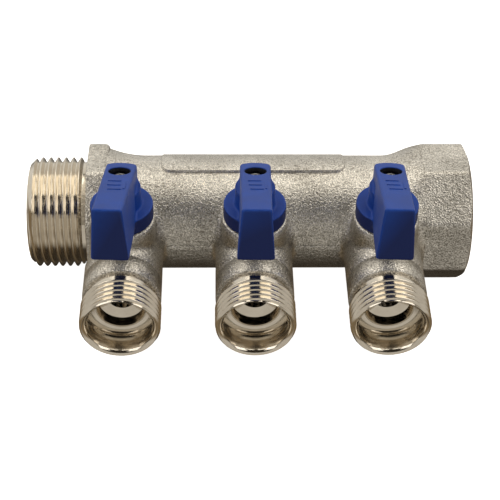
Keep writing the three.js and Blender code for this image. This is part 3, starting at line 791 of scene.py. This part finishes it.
screw = {"head": 2.75, "seat": 28.3, "top": 30.3, "dome": 1.0, "shank": 1.25, "bottom": 17.3, "arm": 1.55,
         "slot": 0.36, "sunk": 29.0, "step": 0.13}


def screwDistance(side):
    s = screw
    ballRadius = (s["head"] ** 2 + s["dome"] ** 2) / (2 * s["dome"])

    def distance(p):
        # a flat domed head on a shank, with a cross sunk in the dome
        x, y, z = stemPlace(p, side)
        away = np.hypot(x, y)
        dome = np.sqrt(away ** 2 + (z - s["top"] + ballRadius) ** 2) - ballRadius
        head = smoothMax(smoothMax(dome, away - s["head"], 0.6), s["seat"] - z, 0.15)
        shank = np.maximum(away - s["shank"], np.maximum(s["bottom"] - z, z - s["seat"] - 0.5))
        first = np.maximum(np.abs(x) - s["arm"], np.abs(y) - s["slot"])
        second = np.maximum(np.abs(y) - s["arm"], np.abs(x) - s["slot"])
        cross = np.maximum(np.minimum(first, second), s["sunk"] - z)
        return smoothMax(smoothMin(head, shank, 0.2), -cross, 0.12)

    return distance


def makeScrew(side):
    # the screw's skin, in a box a little larger than its head
    x = stemX[side]
    low, high = (x - 3.1, stemY - 3.1, 17), (x + 3.1, stemY + 3.1, 30.8)
    return skin("screw_" + side, screwDistance(side), low, high, screw["step"])


ball = {"radius": 7.0, "port": 4.0, "slot": 1.2, "slotFloor": 4.8, "reach": 7.6, "step": 0.3}


def makeBall(side):
    s = ball

    def distance(p):
        # a sphere with the water way along the outlet and a slot over its top
        x, y, z = stemPlace(p, side)
        sphere = np.sqrt(x ** 2 + y ** 2 + z ** 2) - s["radius"]
        slot = np.maximum(np.abs(y) - s["slot"], s["slotFloor"] - z)
        return smoothMax(smoothMax(sphere, s["port"] - np.hypot(x, z), 0.3), -slot, 0.2)

    centre, reach = np.array([stemX[side], stemY, 0]), s["reach"]
    return skin("ball_" + side + "_fine", distance, centre - reach, centre + reach, s["step"])


for side in sides:
    valveBody = "valve_" + side
    finish(makeTowerRim(side), "manifold", ["manifold_body"], forged)
    finish(makeBarrelEnd(side), "manifold", ["manifold_body"], forged)
    finish(makeFlange(side), "manifold", ["outlet_nipple_" + side], forged)
    finish(makeNipple(side), "manifold", ["outlet_nipple_" + side], turnedY)
    finish(makeHandle(side), valveBody, ["handle_" + side], blue)
    finish(makeMarks(side), valveBody, ["handle_" + side], blue)
    finish(makeScrew(side), valveBody, ["handle_screw_" + side], steel)
    finish(makeBall(side), valveBody, ["ball_" + side], chrome)
    print(side + " valve made")

for name, node in frame["nodes"].items():
    for start, material in (("ball", chrome), ("seat", ptfe), ("stem_oring", rubber), ("stem_washer", ptfe),
                            ("stem", brass), ("handle_screw", steel)):
        if name.startswith(start):
            node.data.materials.clear()
            node.data.materials.append(material)
            break


# ---- floor, light and camera

def makeFloor():
    # White and partly lit from within, so that it stays even. Reflections and bounced light leave it out.
    mesh = bpy.data.meshes.new("floor")
    size = 1.5
    corners = [(-size, -size, 0), (size, -size, 0), (size, size, 0), (-size, size, 0)]
    mesh.from_pydata(corners, [], [(0, 1, 2, 3)])
    floor = bpy.data.objects.new("floor", mesh)
    bpy.context.scene.collection.objects.link(floor)
    f = Finish("floor_white", Roughness=0.9)
    f.shader.inputs["Base Color"].default_value = (0.9, 0.9, 0.9, 1)
    f.shader.inputs["Emission Color"].default_value = (1, 1, 1, 1)
    f.shader.inputs["Emission Strength"].default_value = 0.92
    mesh.materials.append(f.material)
    floor.visible_glossy = False
    floor.visible_diffuse = False


def areaLight(name, place, target, size, power, colour):
    # a square lamp that faces its target
    light = bpy.data.lights.new(name, "AREA")
    light.shape = "RECTANGLE"
    light.size, light.size_y = size, size
    light.energy, light.color = power, colour
    lamp = bpy.data.objects.new(name, light)
    lamp.location = place
    lamp.rotation_euler = (Vector(target) - Vector(place)).to_track_quat("-Z", "Y").to_euler()
    bpy.context.scene.collection.objects.link(lamp)


studio = {"gap": 0.12, "edge": 0.03, "panelEnd": 0.62, "panel": (1.95, 1.84, 1.62, 1),
          "seam": (0.04, 0.035, 0.03, 1), "backLow": (0.78, 0.755, 0.70, 1), "dark": (0.03, 0.025, 0.02, 1),
          "front": (0.56, 0.53, 0.475, 1), "ground": (0.045, 0.036, 0.026, 1), "tan": (0.22, 0.165, 0.10, 1),
          "side": (0.40, 0.375, 0.33, 1), "lampX": 0.5, "lampY": -0.25, "lampZ": 0.5, "lampSize": 0.4,
          "lampPower": 0.8, "lampColour": (1.0, 0.96, 0.9)}


def makeLight():
    # Zones by the angle round the bar, from the back over the top to the front: a pale back, two bright
    # panels with a dark seam between them, a dark zone, a pale front and a brown ground.
    s = studio
    world = bpy.data.worlds.new("studio")
    bpy.context.scene.world = world
    world.use_nodes = True
    tree = world.node_tree
    place = Value(tree, tree.nodes.new("ShaderNodeTexCoord").outputs["Generated"])
    split = tree.nodes.new("ShaderNodeSeparateXYZ")
    tree.links.new(place.socket, split.inputs[0])
    x, y, z = (Value(tree, split.outputs[k]) for k in range(3))
    aside = x.math("ABSOLUTE")
    angle = z.math("ARCTAN2", y)
    round360 = (angle + angle.math("LESS_THAN", 0) * (2 * math.pi)) * (180 / math.pi)

    def mix(share, first, second):
        node = tree.nodes.new("ShaderNodeMix")
        node.data_type = "RGBA"
        tree.links.new(share.socket, node.inputs[0])
        for slot, colour in ((6, first), (7, second)):
            if isinstance(colour, Value):
                tree.links.new(colour.socket, node.inputs[slot])
            else:
                node.inputs[slot].default_value = colour
        return Value(tree, node.outputs[2])

    outer = mix(spread(aside, s["panelEnd"], s["panelEnd"] + 0.1), s["panel"], s["side"])
    panels = mix(spread(aside, s["gap"] - s["edge"], s["gap"]), s["seam"], outer)
    darkZone = mix(spread(aside, 0.75, 0.9), s["dark"], s["side"])
    groundZone = mix(spread(aside, 0.3, 0.55), s["ground"], s["tan"])
    colour = mix(spread(round360, 40, 43), s["backLow"], panels)
    colour = mix(spread(round360, 98, 100), colour, darkZone)
    colour = mix(spread(round360, 145, 147), colour, s["front"])
    colour = mix(spread(round360, 214, 236), colour, groundZone)
    colour = mix(spread(round360, 325, 350), colour, s["backLow"])
    ground = tree.nodes["Background"]
    tree.links.new(colour.socket, ground.inputs[0])
    ground.inputs[1].default_value = 1.0
    middle = (barAxis.x, barAxis.y, 0.02)
    for name, x in (("soft_left", -s["lampX"]), ("soft_right", s["lampX"])):
        place = (x, s["lampY"], s["lampZ"])
        areaLight(name, place, middle, s["lampSize"], s["lampPower"], s["lampColour"])


camera = {"place": (-10.49, -317.48, 272.17), "ahead": (0.02331, 0.74036, -0.67181), "roll": 1.13,
          "lens": 98.24}


def makeCamera():
    # looks ahead from its place, rolled a little about that direction
    data = bpy.data.cameras.new("camera")
    data.sensor_width, data.lens = 36, camera["lens"]
    data.clip_start, data.clip_end = 0.01, 20
    ahead = Vector(camera["ahead"]).normalized()
    right = ahead.cross(Vector((0, 0, 1))).normalized()
    up = right.cross(ahead)
    roll = math.radians(camera["roll"])
    rolledRight = right * math.cos(roll) + up * math.sin(roll)
    rolledUp = up * math.cos(roll) - right * math.sin(roll)
    turn = Matrix((rolledRight, rolledUp, -ahead)).transposed()
    eye = bpy.data.objects.new("camera", data)
    eye.matrix_world = Matrix.Translation(Vector(camera["place"]) / 1000 + barAxis) @ turn.to_4x4()
    bpy.context.scene.collection.objects.link(eye)
    bpy.context.scene.camera = eye


makeFloor()
makeLight()
makeCamera()
bpy.context.scene.view_settings.view_transform = "Standard"
print("stage made")
